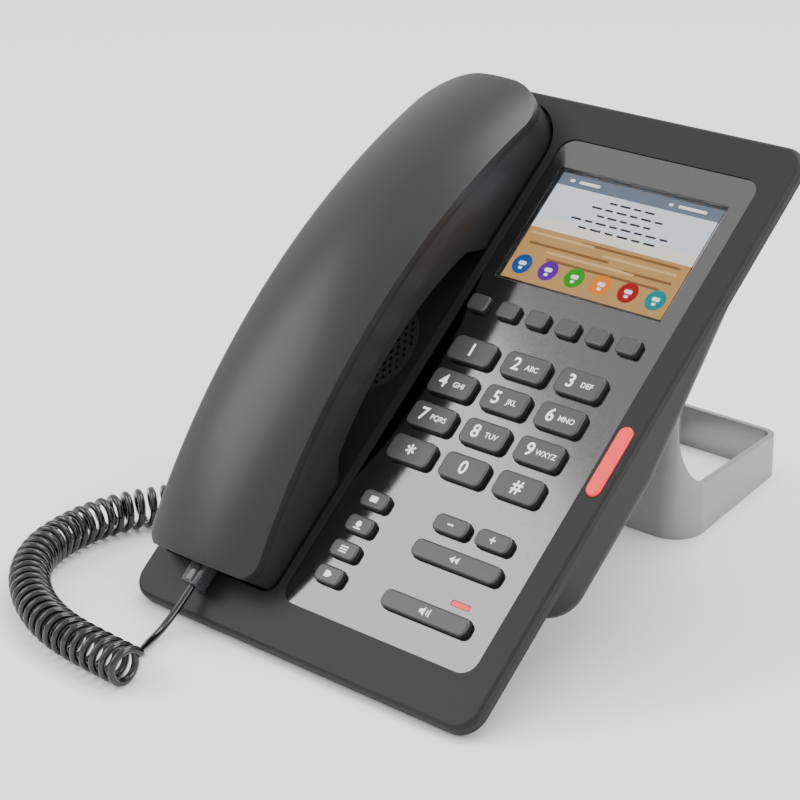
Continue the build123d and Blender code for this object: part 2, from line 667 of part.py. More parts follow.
def pad(x, gap, depth):
    """One pad under the lower edge, or its recess when gap is set."""
    run = TRAY_D / SIN                             # length of the level strip under the lower edge
    middle = -CENTRE_Y + RIM_T * SIN + run / 2
    face = Pos(x, middle, 0) * RectangleRounded(PAD_W + 2 * gap, PAD_L + 2 * gap, PAD_L / 2 - 0.5)
    return extrude(face, depth)


def rubber_pads():
    """Two pads that the lower edge stands on."""
    return Compound([pad(x, 0, PAD_T) for x in pad_places()])


def bulge_height(y):
    """Height above the desk of the upper bulge's back, at that row-frame Y."""
    up_the_slope = (y + CENTRE_Y - UPPER_Z * SIN) / COS
    return LIFT + up_the_slope * SIN - UPPER_Z * COS


def stand_outline(inset):
    """The stand seen from above: a rounded box that narrows to the rear."""
    front, rear = STAND_FRONT - CENTRE_Y, STAND_REAR - CENTRE_Y
    points = [(-STAND_HALF, front), (STAND_HALF, front), (STAND_REAR_HALF, rear), (-STAND_REAR_HALF, rear)]
    face = make_face(Polyline(*points, close=True))
    face = fillet(face.vertices().sort_by(Axis.Y)[:2], STAND_FRONT_R)
    face = fillet(face.vertices().sort_by(Axis.Y)[-2:], STAND_REAR_R)
    return offset(face, -inset) if inset else face


def stand_profile():
    """The stand seen from the side: a tall front wall and side walls that sweep down to a low foot."""
    front, rear = STAND_FRONT - CENTRE_Y, STAND_REAR - CENTRE_Y + 1
    cheek = front + STAND_WALL
    foot = STAND_FOOT_Y - CENTRE_Y
    slope = (STAND_FOOT_H - STAND_REAR_H) / (rear - foot)
    pull = (foot - cheek) / 2
    with BuildSketch(Plane.YZ) as sketch:
        with BuildLine():
            Bezier((cheek, STAND_CHEEK_H), (cheek, STAND_FOOT_H + pull / 2),
                   (foot - pull, STAND_FOOT_H + slope * pull), (foot, STAND_FOOT_H))
            Polyline((foot, STAND_FOOT_H), (rear, STAND_REAR_H), (rear, 0), (front, 0),
                     (front, bulge_height(front)), (cheek, bulge_height(cheek)), (cheek, STAND_CHEEK_H))
        make_face()
    return sketch.sketch


def stand():
    """Loop stand: a front wall up to the bulge, its mounting plate, and an open ring on the desk."""
    profile = extrude(stand_profile(), STAND_HALF + 5, both=True)
    height = bulge_height(STAND_REAR - CENTRE_Y)
    part = extrude(stand_outline(0), height) - extrude(stand_outline(STAND_WALL), height)
    part &= profile
    low, high = STAND_FLANGE
    part += on_face(slab(2 * STAND_FLANGE_HALF, high - low, STAND_WALL, 0, (low + high) / 2, -UPPER_Z,
                         STAND_WALL))
    for x in (-STAND_SCREW_X, STAND_SCREW_X):
        part -= on_face(rod(SCREW_R + FIT, x, STAND_SCREW_Y, 1 - UPPER_Z, 3 * STAND_WALL))
    return part


# ---------------------------------------------------------------- handset pieces
def handset_shell(upper):
    """One half of the hollow handset, split at the parting line."""
    shell = handset_form(0) - handset_form(HANDSET_WALL)
    shell -= handset_jack_place() * Box(2 * PLUG_IN, PLUG_W + 2 * FIT, PLUG_T + 2 * FIT)
    return shell & parting_region(upper)


def handset_upper_shell():
    """Crowned outer half of the handset."""
    return handset_shell(True)


def handset_lower_shell():
    """Inner half with the ear dish, the sound holes, the socket opening and the screw posts."""
    part = handset_shell(False)
    low = handset_low()
    for x, y in handset_screw_places():
        part += rod(BOSS_R, x, y, low + PARTING, PARTING - HANDSET_WALL / 2)
    part -= Pos(CRADLE_X, EAR_Y, low + DISH_D - DISH_R) * Sphere(DISH_R)
    for i in range(6):
        angle = math.radians(60 * i)
        part -= rod(SOUND_HOLE_R, CRADLE_X + 5 * math.cos(angle), EAR_Y + 5 * math.sin(angle),
                    low + 2 * HANDSET_WALL, 4 * HANDSET_WALL)
    part -= rod(SOUND_HOLE_R, CRADLE_X, EAR_Y, low + 2 * HANDSET_WALL, 4 * HANDSET_WALL)
    for x in (-3.0, 0.0, 3.0):
        part -= rod(SOUND_HOLE_R, CRADLE_X + x, MIC_Y, low + 2 * HANDSET_WALL, 4 * HANDSET_WALL)
    for x, y in handset_screw_places():
        part -= rod(SCREW_R, x, y, low + PARTING - 1.5, 2 * PARTING)
        part -= rod(SCREW_HEAD_R + FIT, x, y, low + SCREW_HEAD_T + 0.3, PARTING)
    return part


def handset_screw_places():
    """The two screws of the handset, one in each head."""
    return [(CRADLE_X, EAR_HEAD_Y + SCREW_IN), (CRADLE_X, MOUTH_HEAD_Y - SCREW_IN)]


def handset_screws():
    """Two screws that close the handset."""
    head = handset_low() + 0.3
    grip = PARTING - 1.5 - SCREW_HEAD_T - 0.6
    return Compound([screw(x, y, head, grip) for x, y in handset_screw_places()])


def receiver():
    """Earpiece capsule on the floor of the ear head."""
    top = handset_low() + HANDSET_WALL + RECEIVER_T
    return rod(RECEIVER_R, CRADLE_X, EAR_Y, top, RECEIVER_T)


def handset_microphone():
    """Electret capsule on the floor of the mouth head."""
    top = handset_low() + HANDSET_WALL + MIC_T
    return rod(MIC_R, CRADLE_X, MIC_Y, top, MIC_T)


def handset_weight():
    """Steel weight on the floor of the grip."""
    width, length, thickness = WEIGHT
    top = ARCH_Z + HANDSET_WALL + thickness
    return slab(width, length, 2.0, CRADLE_X, (EAR_HEAD_Y + MOUTH_HEAD_Y) / 2, top, thickness)


def handset_jack():
    """Socket for the cord in the lower end of the handset."""
    return handset_jack_place() * jack(JACK_BACK)


def base_jack():
    """Socket for the cord in the left wall of the bulge."""
    return base_jack_place() * jack(REAR_WALL)


# ---------------------------------------------------------------- handset cord, in the row frame
COIL_ROUTE = [
    (-29.0, -170.4), (-48.0, -169.9), (-66.0, -168.4), (-83.0, -163.4), (-99.0, -154.9),
    (-112.5, -143.9), (-122.0, -129.9), (-126.5, -113.9), (-127.5, -98.0), (-124.5, -83.0),
    (-117.0, -69.0),
]
BASE_LEAD = [
    (-119.0, -72.7, 7.6), (-115.0, -65.8, 9.6), (-111.8, -62.0, 13.8), (-107.5, -60.6, 20.5),
    (-102.5, -60.1, 28.5), (-96.5, -60.091, 35.6), (-91.0, -60.091, 38.225), (-83.0, -60.091, 38.225),
]
HANDSET_LEAD = [
    (-49.3, -122.998, 14.016), (-49.3, -129.036, 8.767), (-48.8, -138.8, 2.4), (-46.3, -147.4, 1.9),
    (-41.0, -155.4, 3.2), (-35.0, -161.6, 8.0), (-32.0, -167.4, 11.5),
]


def cord_path(points):
    """Straight runs joined by the largest tangent arcs that the runs allow, with its radii."""
    vectors = [Vector(*point) for point in points]
    radii = []
    for before, corner, after in zip(vectors, vectors[1:], vectors[2:]):
        turn = math.radians((corner - before).get_angle(after - corner))
        shorter = min((corner - before).length, (after - corner).length)
        radii.append(0.45 * shorter / math.tan(turn / 2))
    return FilletPolyline(*vectors, radius=radii), radii


def cord_tube(points, diameter):
    """A plain tube of that diameter along the points."""
    path, radii = cord_path(points)
    start = Plane(origin=path @ 0, z_dir=path % 0)
    tube = sweep(start * Circle(diameter / 2), path=path)
    expected = math.pi * diameter ** 2 / 4 * path.length
    print("cord radii", [round(r, 1) for r in radii], "length", round(path.length, 1),
          "volume", round(tube.volume / expected, 4))
    return tube


def cord_coil():
    """Outer shape of the curled stretch, lying on the desk."""
    return cord_tube([(x, y, COIL_D / 2) for x, y in COIL_ROUTE], COIL_D)


def cord_base_lead():
    """Straight stretch between the curls and the base."""
    return cord_tube(BASE_LEAD, CORD_D)


def cord_handset_lead():
    """Straight stretch between the handset and the curls."""
    return cord_tube(HANDSET_LEAD, CORD_D)


# ---------------------------------------------------------------- every piece
FACE_PIECES = {
    "front_housing": front_housing,
    "rear_housing": rear_housing,
    "key_panel": key_panel,
    "display_lens": display_lens,
    "display_module": display_module,
    "keypad_mat": keypad_mat,
    "keypad_board": keypad_board,
    "main_board": main_board,
    "message_lamp": message_lamp,
    "mute_indicator": mute_indicator,
    "speaker_grille": speaker_grille,
    "speaker": speaker,
    "hook_plunger": hook_plunger,
    "hook_switch": hook_switch,
    "network_ports": network_ports,
    "power_jack": power_jack,
    "base_jack": base_jack,
    "housing_screws": housing_screws,
    "stand_screws": stand_screws,
    "handset_upper_shell": handset_upper_shell,
    "handset_lower_shell": handset_lower_shell,
    "handset_screws": handset_screws,
    "receiver": receiver,
    "handset_microphone": handset_microphone,
    "handset_weight": handset_weight,
    "handset_jack": handset_jack,
}
ROW_PIECES = {
    "stand": stand,
    "rubber_pads": rubber_pads,
    "cord_coil": cord_coil,
    "cord_base_lead": cord_base_lead,
    "cord_handset_lead": cord_handset_lead,
}


def main():
    """Builds every piece and writes one file for each."""
    os.makedirs("parts", exist_ok=True)
    pieces = {name: on_face(make()) for name, make in FACE_PIECES.items()}
    pieces["handset_plug"] = on_face(handset_jack_place() * cord_plug())
    pieces["base_plug"] = on_face(base_jack_place() * cord_plug())
    for name, (x, y, size) in KEYS.items():
        pieces[name] = on_face(key_cap(x, y, size))
    pieces.update({name: make() for name, make in ROW_PIECES.items()})
    for name, piece in pieces.items():
        export_step(piece, f"parts/{name}.step")
    print(len(pieces), "pieces")


main()
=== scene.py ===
"""Desk telephone: the looks, built round its fixed frame.

Lengths are in metres unless a name says otherwise.
"""

import json
import math

import bmesh
import bpy
from bpy.props import FloatProperty, FloatVectorProperty, IntProperty, PointerProperty
from mathutils import Matrix, Vector


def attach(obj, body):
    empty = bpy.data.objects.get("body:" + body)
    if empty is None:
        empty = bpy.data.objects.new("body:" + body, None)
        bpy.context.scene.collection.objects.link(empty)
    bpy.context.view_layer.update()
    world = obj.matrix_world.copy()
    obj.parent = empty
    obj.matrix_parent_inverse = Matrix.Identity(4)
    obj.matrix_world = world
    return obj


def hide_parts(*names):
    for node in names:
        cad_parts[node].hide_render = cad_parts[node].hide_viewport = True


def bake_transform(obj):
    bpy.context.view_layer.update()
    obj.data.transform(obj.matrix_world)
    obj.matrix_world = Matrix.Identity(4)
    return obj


bl_info = {
    "name": "Desk telephone",
    "version": (1, 0, 0),
    "blender": (4, 5, 0),
    "location": "View3D > Sidebar > Telephone",
    "description": "Builds a desk telephone with a curly cord, sprung keys and a lit display",
    "category": "Object",
}

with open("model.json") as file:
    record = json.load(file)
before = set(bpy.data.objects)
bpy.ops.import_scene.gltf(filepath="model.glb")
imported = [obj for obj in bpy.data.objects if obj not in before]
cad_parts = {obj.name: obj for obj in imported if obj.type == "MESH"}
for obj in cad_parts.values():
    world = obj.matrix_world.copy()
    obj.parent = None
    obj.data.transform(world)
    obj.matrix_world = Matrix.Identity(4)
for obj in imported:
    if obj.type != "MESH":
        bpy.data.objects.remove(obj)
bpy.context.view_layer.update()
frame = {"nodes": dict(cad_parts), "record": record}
NODES = frame["nodes"]

MM = 0.001
TILT = math.radians(41.0)                       # face to desk
PAD_OUT = 0.8 * MM                              # how far the rubber pads stand out
RIM = 4.5 * MM                                  # depth of the front housing's rim
EDGE_R = 2.0 * MM                               # rounding of the rim's front edge
STAND_REAR = 251.0 * MM                         # behind the face's lower edge
FRONT = EDGE_R * (math.cos(TILT) + math.sin(TILT) - 1)    # how far the rounded edge stays back
FACE_ORIGIN = Vector((0, -(FRONT + STAND_REAR) / 2, PAD_OUT + RIM * math.cos(TILT)))
FACE = Matrix.Translation(FACE_ORIGIN) @ Matrix.Rotation(TILT, 4, "X")
TO_FACE = FACE.inverted()

LETTERS = {"2": "ABC", "3": "DEF", "4": "GHI", "5": "JKL", "6": "MNO", "7": "PQRS", "8": "TUV", "9": "WXYZ"}
SYMBOLS = {"star": "*", "hash": "#"}
SHADED_SIDE_COSINE = 0.55                                # cosine of the lean up to which a key's surface is its top; its steeper sides get a dark finish as painted shade

LEGEND_DEPTH = 0.04 * MM
LEGEND_LIFT = 0.01 * MM                         # middle of the ink above the key's top
DIGIT_SIZE = 7.0 * MM
STAR_SIZE = 9.0 * MM
STAR_DROP = -1.6 * MM                           # brings the high star to the middle
LETTER_SIZE = 2.9 * MM
DIGIT_X = -3.6 * MM                             # of a digit with letters beside it
LETTERS_AT = (3.4 * MM, -0.2 * MM)

SOCKET_X = (-6.0 * MM, 13.0 * MM)               # middles of the two network sockets, in the face's frame
SOCKET_CONTACTS = (83.2 * MM, -23.5 * MM)       # y and z of their contacts
SOCKET_LEAN = 0.25                              # of the contacts, in radians
PLUG_CONTACT_IN = 5.0 * MM                      # from a plug's middle to that of its contacts
PLUG_CONTACT_OUT = 0.05 * MM                    # below the plug's underside

PICTURE_MARGIN = 1.3 * MM                       # between the window's edge and the picture
PICTURE_LAYER = 0.03 * MM
PICTURE_GAP = 0.004 * MM                        # between two layers

CAMERA_PLACE = (0.52878, -0.64778, 0.39075)
CAMERA_TURN = (68.4226, 0.109, 42.4041)         # degrees about x, y and z
STUDIO_LIGHT = 1.35
SOFTBOXES = {                                   # place, target, width, height, watts
    "key": ((-1.09, -0.90, 1.05), (0, 0, 0.08), 1.0, 1.0, 12.0),
    "top": ((0.1, 0.5, 1.6), (0, 0, 0.1), 1.2, 0.8, 18.0),
    "right": ((1.3, 0.1, 0.7), (0, 0, 0.1), 0.5, 1.0, 9.0),
}


# ---------------------------------------------------------------- settings that a user would change
class CordSettings(bpy.types.PropertyGroup):
    """Sizes of the curly cord."""

    diameter: FloatProperty(name="Cord diameter", description="Thickness of the sheath", default=2.7 * MM,
                            min=0.5 * MM, unit="LENGTH")
    coil_width: FloatProperty(name="Coil width", description="Outside width of the curls", default=15.2 * MM,
                              min=6 * MM, unit="LENGTH")
    turns: IntProperty(name="Turns", description="Number of curls", default=34, min=4)


class FinishSettings(bpy.types.PropertyGroup):
    """Colours of the telephone."""

    body: FloatVectorProperty(name="Body", description="Colour of the housings", subtype="COLOR", size=3,
                              default=(0.011, 0.011, 0.0113), min=0, max=1)
    handset: FloatVectorProperty(name="Handset", description="Colour of the handset", subtype="COLOR", size=3,
                                 default=(0.018, 0.018, 0.0184), min=0, max=1)
    panel: FloatVectorProperty(name="Panel", description="Colour of the key panel", subtype="COLOR", size=3,
                               default=(0.14, 0.14, 0.14), min=0, max=1)
    keys: FloatVectorProperty(name="Keys", description="Colour of the keys", subtype="COLOR", size=3,
                              default=(0.036, 0.036, 0.037), min=0, max=1)
    stand: FloatVectorProperty(name="Stand", description="Colour of the stand", subtype="COLOR", size=3,
                               default=(0.27, 0.27, 0.273), min=0, max=1)
    lamp: FloatVectorProperty(name="Lamps", description="Colour of the lamp and the indicator",
                              subtype="COLOR", size=3, default=(0.80, 0.022, 0.028), min=0, max=1)


class StageSettings(bpy.types.PropertyGroup):
    """Camera and light."""

    lens: FloatProperty(name="Lens", description="Focal length in millimetres", default=111.47, min=20)
    light: FloatProperty(name="Light", description="Strength of the studio light", default=1.0, min=0)


# ---------------------------------------------------------------- materials
PATTERN_LOW, PATTERN_HIGH = 0.3, 0.7            # where most values of a noise pattern lie


class Finish:
    """A material under construction: its node tree, shader and object-space position."""

    def __init__(self, name, colour, roughness, metallic=0.0, specular=0.5):
        self.material = bpy.data.materials.new(name)
        self.material.use_nodes = True
        self.tree = self.material.node_tree
        self.shader = self.tree.nodes["Principled BSDF"]
        self.colour = (*colour[:3], 1.0)
        self.shader.inputs["Base Color"].default_value = self.colour
        self.shader.inputs["Roughness"].default_value = roughness
        self.shader.inputs["Metallic"].default_value = metallic
        self.shader.inputs["Specular IOR Level"].default_value = specular
        self.roughness = roughness
        self.place = self.tree.nodes.new("ShaderNodeTexCoord")
        self.material.diffuse_color = self.colour

    def noise(self, scale, detail=2.0, stretch=None):
        """A noise pattern that is scale to the metre, stretched along the axes where that is given."""
        node = self.tree.nodes.new("ShaderNodeTexNoise")
        node.inputs["Scale"].default_value = scale
        node.inputs["Detail"].default_value = detail
        source = self.place.outputs["Object"]
        if stretch:
            mapping = self.tree.nodes.new("ShaderNodeMapping")
            mapping.inputs["Scale"].default_value = stretch
            self.tree.links.new(source, mapping.inputs["Vector"])
            source = mapping.outputs["Vector"]
        self.tree.links.new(source, node.inputs["Vector"])
        return node.outputs["Fac"]

    def spread(self, fac, low, high):
        """The pattern mapped to values from low to high."""
        node = self.tree.nodes.new("ShaderNodeMapRange")
        node.inputs["From Min"].default_value = PATTERN_LOW
        node.inputs["From Max"].default_value = PATTERN_HIGH
        node.inputs["To Min"].default_value = low
        node.inputs["To Max"].default_value = high
        self.tree.links.new(fac, node.inputs["Value"])
        return node.outputs["Result"]

    def vary_colour(self, fac, darker, lighter):
        """Shades of the base colour from darker to lighter, as factors, by the pattern."""
        ramp = self.tree.nodes.new("ShaderNodeValToRGB")
        for stop, place, factor in ((0, PATTERN_LOW, darker), (1, PATTERN_HIGH, lighter)):
            ramp.color_ramp.elements[stop].position = place
            ramp.color_ramp.elements[stop].color = (*[c * factor for c in self.colour[:3]], 1.0)
        self.tree.links.new(fac, ramp.inputs["Fac"])
        self.tree.links.new(ramp.outputs["Color"], self.shader.inputs["Base Color"])
        return self

    def vary_roughness(self, fac, amount):
        """Roughness either side of its value by the pattern."""
        wide = self.spread(fac, self.roughness - amount, self.roughness + amount)
        self.tree.links.new(wide, self.shader.inputs["Roughness"])
        return self

    def bump(self, fac, height, strength=0.5):
        """Relief of that height in metres by the pattern."""
        node = self.tree.nodes.new("ShaderNodeBump")
        node.inputs["Distance"].default_value = height
        node.inputs["Strength"].default_value = strength
        self.tree.links.new(fac, node.inputs["Height"])
        self.tree.links.new(node.outputs["Normal"], self.shader.inputs["Normal"])
        return self

    def set(self, **values):
        """Sets inputs of the shader by their names, with spaces for underscores."""
        for name, value in values.items():
            self.shader.inputs[name.replace("_", " ")].default_value = value
        return self


def moulded(name, colour, roughness, grain=3200.0, depth=0.03 * MM, specular=0.5):
    """Moulded plastic with a fine eroded grain and faint cloudiness."""
    made = Finish(name, colour, roughness, specular=specular)
    made.bump(made.noise(grain, 3.0), depth, 0.35)
    made.vary_roughness(made.noise(900.0, 3.0), 0.02)
    made.vary_colour(made.noise(1400.0, 3.0), 0.94, 1.06)
    return made.material


def painted(name, colour, roughness, metallic):
    """Sprayed satin paint with tiny metallic flecks."""
    made = Finish(name, colour, roughness, metallic)
    made.vary_colour(made.noise(5200.0, 1.0), 0.90, 1.10)
    made.vary_roughness(made.noise(700.0, 3.0), 0.02)
    made.bump(made.noise(1500.0, 3.0), 0.004 * MM, 0.25)
    return made.material


def plated(name, colour):
    """Zinc-plated or gold-plated metal with a fine grain."""
    made = Finish(name, colour, 0.3, 1.0)
    made.vary_roughness(made.noise(1800.0, 3.0), 0.08)
    made.bump(made.noise(4000.0, 2.0), 0.01 * MM, 0.3)
    return made.material


def lit(name, colour, strength):
    """A glowing, faintly uneven colour of the display picture."""
    made = Finish(name, [c * 0.05 for c in colour], 0.4, specular=0.0)
    made.vary_colour(made.noise(900.0, 2.0), 0.9, 1.1)
    made.set(Emission_Color=(*colour, 1.0), Emission_Strength=strength)
    return made.material


def light_pipe(name, colour):
    """Translucent coloured plastic."""
    made = Finish(name, colour, 0.32)
    made.vary_colour(made.noise(300.0, 3.0), 0.9, 1.1)
    made.vary_roughness(made.noise(700.0, 3.0), 0.05)
    made.set(Subsurface_Weight=0.35, Subsurface_Radius=(0.004, 0.001, 0.001), Subsurface_Scale=0.4)
    made.set(Emission_Color=(*colour, 1.0), Emission_Strength=0.32)
    return made.material


def clear(name, colour, roughness, weight, ior=1.49):
    """Clear plastic or glass with a trace of haze."""
    made = Finish(name, colour, roughness)
    made.vary_roughness(made.noise(400.0, 3.0), roughness / 2)
    made.set(Transmission_Weight=weight, IOR=ior)
    return made.material


def sheath():
    """Glossy flexible cord sheath with fine scuffs."""
    made = Finish("cord_sheath", (0.004, 0.004, 0.004), 0.13, specular=0.6)
    made.vary_roughness(made.noise(900.0, 4.0), 0.05)
    made.bump(made.noise(2600.0, 3.0), 0.02 * MM, 0.3)
    made.vary_colour(made.noise(200.0, 2.0), 0.85, 1.2)
    return made.material


def resist():
    """Green solder resist with faint tracks."""
    made = Finish("solder_resist", (0.02, 0.12, 0.05), 0.35)
    made.vary_colour(made.noise(900.0, 1.0, (1, 0.12, 0.12)), 0.7, 1.4)
    made.vary_roughness(made.noise(500.0, 2.0), 0.05)
    made.bump(made.noise(900.0, 1.0, (1, 0.12, 0.12)), 0.02 * MM, 0.3)
    return made.material


FINISHES = {}


def finish_of(name):
    """The finish of that name, made once."""
    tint = bpy.context.scene.telephone_finish
    makers = {
        "housing": lambda: moulded("housing_plastic", tint.body, 0.46, specular=0.26),
        "handset": lambda: moulded("handset_plastic", tint.handset, 0.30, 4200.0, 0.012 * MM, 0.34),
        "tub": lambda: moulded("grille_plastic", (0.016, 0.016, 0.016), 0.55),
        "panel": lambda: painted("panel_paint", tint.panel, 0.11, 1.0),
        "keys": lambda: moulded("key_plastic", tint.keys, 0.34, 3600.0, 0.012 * MM),
        "stand": lambda: painted("stand_paint", tint.stand, 0.30, 0.75),
        "lens": lambda: clear("display_window", (0.98, 0.99, 1.0), 0.03, 1.0, 1.15),
        "plug": lambda: clear("plug_plastic", (0.10, 0.105, 0.11), 0.12, 0.6),
        "lamp": lambda: light_pipe("lamp_plastic", tint.lamp),
        "glass": lambda: moulded("display_cell", (0.01, 0.01, 0.012), 0.25),
        "silicone": lambda: moulded("mat_silicone", (0.42, 0.42, 0.42), 0.6),
        "board": resist,
        # dark plastic of real parts, also used as painted shade on the keys' sides
        "black": lambda: moulded("black_plastic", (0.010, 0.010, 0.010), 0.45),
        "rubber": lambda: moulded("pad_rubber", (0.018, 0.018, 0.018), 0.75, 2600.0, 0.05 * MM),
        "zinc": lambda: plated("zinc_plate", (0.56, 0.56, 0.55)),
        "gold": lambda: plated("gold_plate", (0.83, 0.61, 0.25)),
        "frame": lambda: moulded("speaker_enamel", (0.02, 0.02, 0.02), 0.4),
        "legend": lambda: moulded("legend_ink", (0.95, 0.95, 0.95), 0.5, 5000.0, 0.005 * MM),
        "cord": sheath,
    }
    if name not in FINISHES:
        FINISHES[name] = makers[name]()
    return FINISHES[name]


def coat(obj, finish):
    """Gives an object that finish alone."""
    obj.data.materials.clear()
    obj.data.materials.append(finish if isinstance(finish, bpy.types.Material) else finish_of(finish))
    return obj


# ---------------------------------------------------------------- meshes
def linked(data, name):
    """A new object of that name in the scene, with that data."""
    obj = bpy.data.objects.new(name, data)
    bpy.context.scene.collection.objects.link(obj)
    return obj


def piece_from(work, name):
    """A new object from a bmesh, which is used up."""
    mesh = bpy.data.meshes.new(name)
    work.to_mesh(mesh)
    work.free()
    return linked(mesh, name)


def baked(obj):
    """The object with its modifiers and curve settings turned into a plain mesh."""
    bpy.context.view_layer.update()
    graph = bpy.context.evaluated_depsgraph_get()
    mesh = bpy.data.meshes.new_from_object(obj.evaluated_get(graph), depsgraph=graph)
    name = obj.name
    bpy.data.objects.remove(obj)
    mesh.name = name
    return linked(mesh, name)


def placed(obj, matrix):
    """Moves the object's mesh, not the object."""
    obj.data.transform(matrix)
    obj.data.update()
    return obj


def face_points(node):
    """Vertices of a CAD node in the face's own frame."""
    return [TO_FACE @ v.co for v in NODES[node].data.vertices]


def face_box(node):
    """Lowest and highest corner of a CAD node in the face's own frame."""
    points = face_points(node)
    low = Vector([min(p[i] for p in points) for i in range(3)])
    high = Vector([max(p[i] for p in points) for i in range(3)])
    return low, high


def softened(node, width, finish, body, angle=28.0, segments=3):
    """A copy of a CAD node with its sharp edges rounded by width, which replaces it."""
    work = bmesh.new()
    work.from_mesh(NODES[node].data)
    bmesh.ops.remove_doubles(work, verts=work.verts, dist=0.004 * MM)
    bmesh.ops.dissolve_limit(work, angle_limit=math.radians(0.4), verts=work.verts, edges=work.edges)
    obj = coat(piece_from(work, node + "_finished"), finish)
    bevel = obj.modifiers.new("edges", "BEVEL")
    bevel.width = width
    bevel.segments = segments
    bevel.limit_method = "ANGLE"
    bevel.angle_limit = math.radians(angle)
    bevel.use_clamp_overlap = True
    bevel.miter_outer = "MITER_ARC"
    obj = coat(baked(obj), finish)
    smooth(obj, 32.0)
    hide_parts(node)
    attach(obj, body)
    return obj


def smooth(obj, angle):
    """Smooth shading, with edges sharper than angle kept sharp."""
    mesh = obj.data
    mesh.polygons.foreach_set("use_smooth", [True] * len(mesh.polygons))
    mesh.set_sharp_from_angle(angle=math.radians(angle))
    mesh.update()
    return obj


def finish_node(node, finish, painted_shade_finish=None):
    """Gives a CAD node its finish; where a second finish is given, what turns away from the face gets it as
    painted shade.
    """
    obj = coat(NODES[node], finish)
    if painted_shade_finish:
        obj.data.materials.append(finish_of(painted_shade_finish))
        outward = FACE.to_3x3() @ Vector((0, 0, 1))
        for polygon in obj.data.polygons:
            polygon.material_index = 0 if polygon.normal.dot(outward) > SHADED_SIDE_COSINE else 1
    return obj


def text_mesh(body, size, depth, bold=0.0):
    """A line of generic type as a mesh, centred on the origin."""
    curve = bpy.data.curves.new("type", "FONT")
    curve.body = body
    curve.size = size
    curve.extrude = depth / 2
    curve.offset = bold
    curve.align_x = "CENTER"
    curve.align_y = "CENTER"
    curve.resolution_u = 3
    return baked(linked(curve, "type"))


def joined(parts, name):
    """Several mesh objects as one."""
    work = bmesh.new()
    for part in parts:
        work.from_mesh(part.data)
        bpy.data.objects.remove(part)
    return piece_from(work, name)


def prism(outline, low, high, name="prism"):
    """A closed upright prism over an outline of (x, y) points given anticlockwise."""
    work = bmesh.new()
    floor = [work.verts.new((x, y, low)) for x, y in outline]
    roof = [work.verts.new((x, y, high)) for x, y in outline]
    work.faces.new(list(reversed(floor)))
    work.faces.new(roof)
    count = len(outline)
    for i in range(count):
        j = (i + 1) % count
        work.faces.new((floor[i], floor[j], roof[j], roof[i]))
    return piece_from(work, name)


def rounded(width, height, radius, x=0.0, y=0.0, steps=5):
    """Outline of a rounded rectangle, anticlockwise."""
    radius = min(radius, width / 2 - 1e-6, height / 2 - 1e-6)
    points = []
    for k, (sx, sy) in enumerate(((1, 1), (-1, 1), (-1, -1), (1, -1))):
        cx, cy = x + sx * (width / 2 - radius), y + sy * (height / 2 - radius)
        for i in range(steps + 1):
            angle = math.pi / 2 * (k + i / steps)
            points.append((cx + radius * math.cos(angle), cy + radius * math.sin(angle)))
    return points


def disc(radius, x=0.0, y=0.0, steps=28):
    """Outline of a circle, anticlockwise."""
    return [(x + radius * math.cos(2 * math.pi * i / steps), y + radius * math.sin(2 * math.pi * i / steps))
            for i in range(steps)]


# ---------------------------------------------------------------- repeated pins, made by a node tree
TREES = {}


def pin_row_tree():
    """Node tree: a centred row of square pins from Count, Pitch, Width, Length and Height."""
    tree = bpy.data.node_groups.new("pin_row", "GeometryNodeTree")
    face = tree.interface
    face.new_socket("Geometry", in_out="OUTPUT", socket_type="NodeSocketGeometry")
    sizes = (("Count", "NodeSocketInt", 4), ("Pitch", "NodeSocketFloat", 1.02 * MM),
             ("Width", "NodeSocketFloat", 0.5 * MM), ("Length", "NodeSocketFloat", 4 * MM),
             ("Height", "NodeSocketFloat", 0.5 * MM))
    for name, kind, value in sizes:
        socket = face.new_socket(name, in_out="INPUT", socket_type=kind)
        socket.default_value = value
    face.new_socket("Material", in_out="INPUT", socket_type="NodeSocketMaterial")
    new = tree.nodes.new
    given, out = new("NodeGroupInput"), new("NodeGroupOutput")
    line, cube, size = new("GeometryNodeMeshLine"), new("GeometryNodeMeshCube"), new("ShaderNodeCombineXYZ")
    step, start = new("ShaderNodeCombineXYZ"), new("ShaderNodeCombineXYZ")
    gaps, reach, centre = new("ShaderNodeMath"), new("ShaderNodeMath"), new("ShaderNodeMath")
    many = new("GeometryNodeInstanceOnPoints")
    real, paint = new("GeometryNodeRealizeInstances"), new("GeometryNodeSetMaterial")
    link = tree.links.new
    for source, target in (("Width", "X"), ("Length", "Y"), ("Height", "Z")):
        link(given.outputs[source], size.inputs[target])
    link(size.outputs[0], cube.inputs["Size"])
    link(given.outputs["Pitch"], step.inputs["X"])
    gaps.operation = "SUBTRACT"
    gaps.inputs[1].default_value = 1
    link(given.outputs["Count"], gaps.inputs[0])
    reach.operation = "MULTIPLY"
    link(gaps.outputs[0], reach.inputs[0])
    link(given.outputs["Pitch"], reach.inputs[1])
    centre.operation = "MULTIPLY"
    centre.inputs[1].default_value = -0.5
    link(reach.outputs[0], centre.inputs[0])
    link(centre.outputs[0], start.inputs["X"])
    link(given.outputs["Count"], line.inputs["Count"])
    link(start.outputs[0], line.inputs["Start Location"])
    link(step.outputs[0], line.inputs["Offset"])
    link(line.outputs["Mesh"], many.inputs["Points"])
    link(cube.outputs["Mesh"], many.inputs["Instance"])
    link(many.outputs["Instances"], real.inputs["Geometry"])
    link(real.outputs["Geometry"], paint.inputs["Geometry"])
    link(given.outputs["Material"], paint.inputs["Material"])
    link(paint.outputs["Geometry"], out.inputs["Geometry"])
    return tree, {item.name: item.identifier for item in face.items_tree if item.in_out == "INPUT"}


